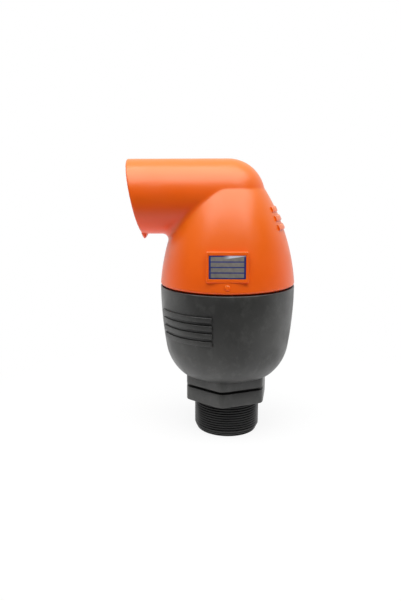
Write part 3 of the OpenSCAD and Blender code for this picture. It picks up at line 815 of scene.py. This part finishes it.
def printed_film():
    """Blue film with four bare grey rows, worn pale at its upper right corner."""
    material, tree, shader = new_material("printed_film")
    across, _, up = parts_of(tree, object_place(tree))
    row = maths(tree, "DIVIDE", maths(tree, "SUBTRACT", up, LABEL_ROW_Z * MM), LABEL_ROW_PITCH * MM)
    off = maths(tree, "ABSOLUTE", maths(tree, "SUBTRACT", maths(tree, "FRACT", row), 0.5))
    bar = spread(tree, off, 0.37, 0.41, 1, 0)
    side = spread(tree, maths(tree, "ABSOLUTE", across), 13.4 * MM, 13.6 * MM, 1, 0)
    rows = maths(tree, "MULTIPLY", bar, side)
    slant = maths(tree, "MULTIPLY_ADD", across, 0.14, LABEL_WEAR_Z * MM)
    lifted = spread(tree, maths(tree, "SUBTRACT", up, slant), 0, 0.5 * MM, 0, 1)
    right = spread(tree, across, -4 * MM, 2 * MM, 0, 0.85)
    corner = maths(tree, "MULTIPLY", lifted, right)
    specks = spread(tree, noise(tree, 420, 5, 0.7), 0.6, 0.72, 0, 0.5)
    wear = maths(tree, "MAXIMUM", specks, corner)
    blue_tone = spread(tree, noise(tree, 200, 3), 0.3, 0.7, 0, 1)
    grey_tone = spread(tree, noise(tree, 260, 4), 0.3, 0.7, 0, 1)
    blue_ink = mix(tree, blue_tone, srgb(22, 33, 100), srgb(32, 45, 112))
    grey_ink = mix(tree, grey_tone, srgb(104, 100, 94), srgb(124, 120, 112))
    bare = mix(tree, corner, srgb(120, 122, 130), srgb(206, 210, 226))
    colour = mix(tree, wear, mix(tree, rows, blue_ink, grey_ink), bare)
    gloss = spread(tree, noise(tree, 300, 3), 0.3, 0.7, 0.3, 0.5)
    feed(tree, shader, Base_Color=colour, Roughness=gloss)
    return material


# The orange has a painted sheen on its upper side and painted shade on its underside.
orange = moulded(
    "orange_nylon", (srgb(233, 93, 8), srgb(228, 89, 6)), srgb(236, 124, 62), (0.29, 0.38),
    sheen_and_shade_tones=(srgb(249, 82, 6), srgb(206, 106, 18)))
# The grey has painted shade in its hollows and on its thread below the hexagon.
grey = moulded(
    "grey_nylon", (srgb(56, 56, 54), srgb(46, 46, 45)), srgb(84, 84, 82), (0.28, 0.5), scuff_level=0.5,
    specular=0.6, hollow_shade=srgb(14, 14, 13), thread_shade=(srgb(5, 5, 5), srgb(17, 17, 16)))
black = moulded("black_nylon", (srgb(40, 41, 43), srgb(34, 35, 37)), srgb(70, 70, 70), (0.45, 0.6))
acetal = moulded(
    "white_acetal", (srgb(224, 220, 206), srgb(216, 211, 196)), srgb(236, 233, 224), (0.35, 0.5))
polypropylene = moulded(
    "white_polypropylene", (srgb(230, 228, 220), srgb(222, 220, 211)), srgb(238, 237, 232), (0.4, 0.55))
film = printed_film()
elastomer = rubber("black_rubber")
steel = turned_metal("stainless_steel", srgb(190, 192, 195), srgb(168, 170, 174), 0.3)
brass = turned_metal("turned_brass", srgb(206, 172, 96), srgb(186, 150, 76), 0.28)

# Pieces made here, with the body each rides on and the nodes each stands for
bowl = lower_body()
cover = upper_cover()
helix = helix_tree()
ribs = rib_tree()
inlet_thread = from_tree("inlet_thread", helix, {
    "Turns": (INLET_LENGTH - THREAD_STOP) / THREAD_PITCH,
    "Pitch": THREAD_PITCH * MM,
    "Radius": (INLET_R - (THREAD_DEPTH + THREAD_SINK) / 2) * MM,
    "Ridge": (THREAD_DEPTH + THREAD_SINK) * MM,
    "Foot": 2.2 * MM,
    "Crest": 0.35 * MM,
    "Base": -INLET_LENGTH * MM,
    "Lead Top": (LEAD_LENGTH - INLET_LENGTH) * MM,
    "Lead Slope": LEAD_SLOPE,
    "End": (0.02 - INLET_LENGTH) * MM,
    "Steps": 96,
    "Material": grey,
}, 30.0)
closure_thread = from_tree("closure_thread", helix, {
    "Turns": 1.5,
    "Pitch": CLOSURE_PITCH * MM,
    "Radius": (SPIGOT_R + 0.05) * MM,
    "Ridge": 1.1 * MM,
    "Foot": 3.4 * MM,
    "Crest": 2.0 * MM,
    "Base": CLOSURE_THREAD_Z * MM,
    "Lead Top": 0.0,
    "Lead Slope": 0.0,
    "End": 0.0,
    "Steps": 128,
    "Material": orange,
}, 30.0)
bowl_ribs = from_tree("bowl_ribs", ribs, {
    "Count": 4,
    "Pitch": BOWL_RIB_PITCH * MM,
    "First": (BOWL_RIB_Z + BOWL_RIB_W / 2) * MM,
    "Width": BOWL_RIB_W * MM,
    "Depth": 2 * RIB_H * MM,
    "Round": 0.4 * MM,
    "Lean": math.radians(4.5),
    "Start": BOWL_RIB_START,
    "Span": RIB_SPAN,
    "Wall Radius": 58.6 * MM,
    "Arc Radius": SIDE_ARC_R * MM,
    "Arc Centre Z": SIDE_CENTRE[1] * MM,
    "Arc Centre R": SIDE_CENTRE[0] * MM,
    "Material": grey,
}, 40.0)
cover_ribs = from_tree("cover_ribs", ribs, {
    "Count": 3,
    "Pitch": COVER_RIB_PITCH * MM,
    "First": COVER_RIB_MIDDLE_Z * MM,
    "Width": COVER_RIB_W * MM,
    "Depth": COVER_RIB_DEPTH * MM,
    "Round": 1.1 * MM,
    "Lean": math.radians(-25.0),
    "Start": -RIB_SPAN / 2,
    "Span": RIB_SPAN,
    "Wall Radius": dome_radius(165.0) * MM,
    "Arc Radius": DOME_ARC_R * MM,
    "Arc Centre Z": DOME_CENTRE[1] * MM,
    "Arc Centre R": DOME_CENTRE[0] * MM,
    "Material": orange,
}, 40.0)

made = (
    (bowl, "body", grey, "grey_nylon"),
    (inlet_thread, "body", grey, "grey_nylon"),
    (bowl_ribs, "body", grey, "grey_nylon"),
    (cover, "cover", orange, "orange_nylon"),
    (closure_thread, "cover", orange, "orange_nylon"),
    (cover_ribs, "cover", orange, "orange_nylon"),
    (label_frame(), "cover", orange, "orange_nylon"),
    (label_film(), "cover", film, "blue_film"),
    (moulding_pip(), "cover", orange, "orange_nylon"),
    (drip_lip(), "cover", orange, "orange_nylon"),
)
stands_for = {"bowl_and_nipple": "lower_body", "dome_and_outlet": "upper_cover", "label_film": "label_plate"}
for piece, body, material, slot_name in made:
    piece.data.materials.clear()
    piece.data.materials.append(material)
    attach(piece, body)
    if piece.name in stands_for:
        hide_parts(stands_for[piece.name])

# Solids that show as they are
kept = {
    "float_cage": black,
    "cover_o_ring": elastomer,
    "orifice_seat": acetal,
    "seat_o_ring": elastomer,
    "plug": black,
    "kinetic_seal": elastomer,
    "seal_clamp": acetal,
    "clamp_screws": steel,
    "nozzle": brass,
    "nozzle_washer": elastomer,
    "fulcrum_pin": steel,
    "lever": acetal,
    "lever_button": elastomer,
    "float_shell": polypropylene,
    "float_cap": polypropylene,
    "float_hanger": acetal,
    "hanger_pin": steel,
    "hanger_screws": steel,
}
for node_name, material in kept.items():
    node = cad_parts[node_name]
    node.data.materials.clear()
    node.data.materials.append(material)


# Floor, light and camera
def seen_share(tree, path):
    """One for rays from the camera, from reflections and through clear pieces, and nought for the rest."""
    seen = maths(tree, "MAXIMUM", path["Is Camera Ray"], path["Is Glossy Ray"])
    return maths(tree, "MAXIMUM", seen, path["Is Transmission Ray"])


def floor():
    """A pale floor that shows white, dims towards the room in reflections and keeps a faint shadow."""
    low = -(INLET_LENGTH + 0.05) * MM
    corners = [(-FLOOR_HALF, FLOOR_FRONT, low), (FLOOR_HALF, FLOOR_FRONT, low),
               (FLOOR_HALF, FLOOR_BACK, low), (-FLOOR_HALF, FLOOR_BACK, low)]
    mesh = bpy.data.meshes.new("floor")
    mesh.from_pydata(corners, [], [(0, 1, 2, 3)])
    obj = link_object("floor", mesh)
    material, tree, shader = new_material("pale_floor")
    feed(tree, shader, Base_Color=(0.85, 0.85, 0.85, 1), Roughness=0.9)
    path = put(tree, "ShaderNodeLightPath").outputs
    place = object_place(tree)
    mirrored = spread(tree, parts_of(tree, place)[1], FLOOR_FRONT, -0.1, 0.1, 1.0)
    white = maths(tree, "MAXIMUM", path["Is Camera Ray"], mirrored)
    glow = result(tree, "ShaderNodeEmission", Color=(1, 1, 1, 1), Strength=white)
    glow_share = spread(tree, length_of(tree, place), 0.05, 0.3, 0.85, 1.0)
    share = maths(tree, "MULTIPLY", seen_share(tree, path), glow_share)
    both = result(tree, "ShaderNodeMixShader", i0=share, i1=shader.outputs[0], i2=glow)
    feed(tree, tree.nodes["Material Output"], Surface=both)
    mesh.materials.append(material)


def studio_world(room, backdrop):
    """A white backdrop behind the valve and a dimmer room on the camera's side."""
    world = bpy.data.worlds.new("studio")
    bpy.context.scene.world = world
    world.use_nodes = True
    tree = world.node_tree
    lit = tree.nodes["Background"]
    way = put(tree, "ShaderNodeTexCoord").outputs["Generated"]
    backward = parts_of(tree, way)[1]
    feed(tree, lit, Color=(1, 1, 1, 1), Strength=spread(tree, backward, -0.1, 0.4, room, backdrop))
    path = put(tree, "ShaderNodeLightPath").outputs
    mirrored = spread(tree, backward, -0.1, 0.4, room, 1.0)
    white = maths(tree, "MAXIMUM", path["Is Camera Ray"], mirrored)
    shown = result(tree, "ShaderNodeBackground", Color=(1, 1, 1, 1), Strength=white)
    both = result(tree, "ShaderNodeMixShader", i0=seen_share(tree, path), i1=lit.outputs[0], i2=shown)
    feed(tree, tree.nodes["World Output"], Surface=both)


def stand(obj, place, side, above, ahead):
    """Places an object that looks along its own -Z."""
    rows = [[side[i], above[i], -ahead[i], place[i]] for i in range(3)]
    obj.matrix_world = Matrix(rows + [[0, 0, 0, 1]])


def soft_light(name, place, target, size, power):
    """A rectangular lamp that faces a target."""
    data = bpy.data.lights.new(name, "AREA")
    data.shape = "RECTANGLE"
    data.size, data.size_y = size
    data.energy = power
    ahead = np.asarray(target, float) - np.asarray(place, float)
    ahead /= np.linalg.norm(ahead)
    side = np.cross(ahead, (0.0, 0.0, 1.0) if abs(ahead[2]) < 0.95 else (0.0, 1.0, 0.0))
    side /= np.linalg.norm(side)
    stand(link_object(name, data), place, side, np.cross(side, ahead), ahead)


def photo_camera():
    """The camera that was fitted to the photograph, with its focal length in pixels."""
    pitch, yaw, roll = math.radians(11.8), math.radians(-2.57), math.radians(-0.17)
    place = (0.0, -0.5433, 0.2027)
    focal_pixels, picture_pixels, sensor = 607.0, 601.0, 36.0
    ahead = np.array([math.sin(yaw) * math.cos(pitch), math.cos(yaw) * math.cos(pitch), -math.sin(pitch)])
    side = np.array([math.cos(yaw), -math.sin(yaw), 0.0])
    above = np.cross(side, ahead)
    right = math.cos(roll) * side + math.sin(roll) * above
    up = -math.sin(roll) * side + math.cos(roll) * above
    data = bpy.data.cameras.new("photo_camera")
    data.sensor_width = sensor
    data.lens = focal_pixels / picture_pixels * sensor
    obj = link_object("photo_camera", data)
    stand(obj, place, right, up, ahead)
    bpy.context.scene.camera = obj


floor()
studio_world(room=0.08, backdrop=0.25)
soft_light("soft_box", place=(0.0, -0.42, 1.2), target=(0.0, -0.4199, 0.1), size=(2.2, 1.3), power=41.0)
photo_camera()
bpy.context.scene.view_settings.view_transform = "Standard"
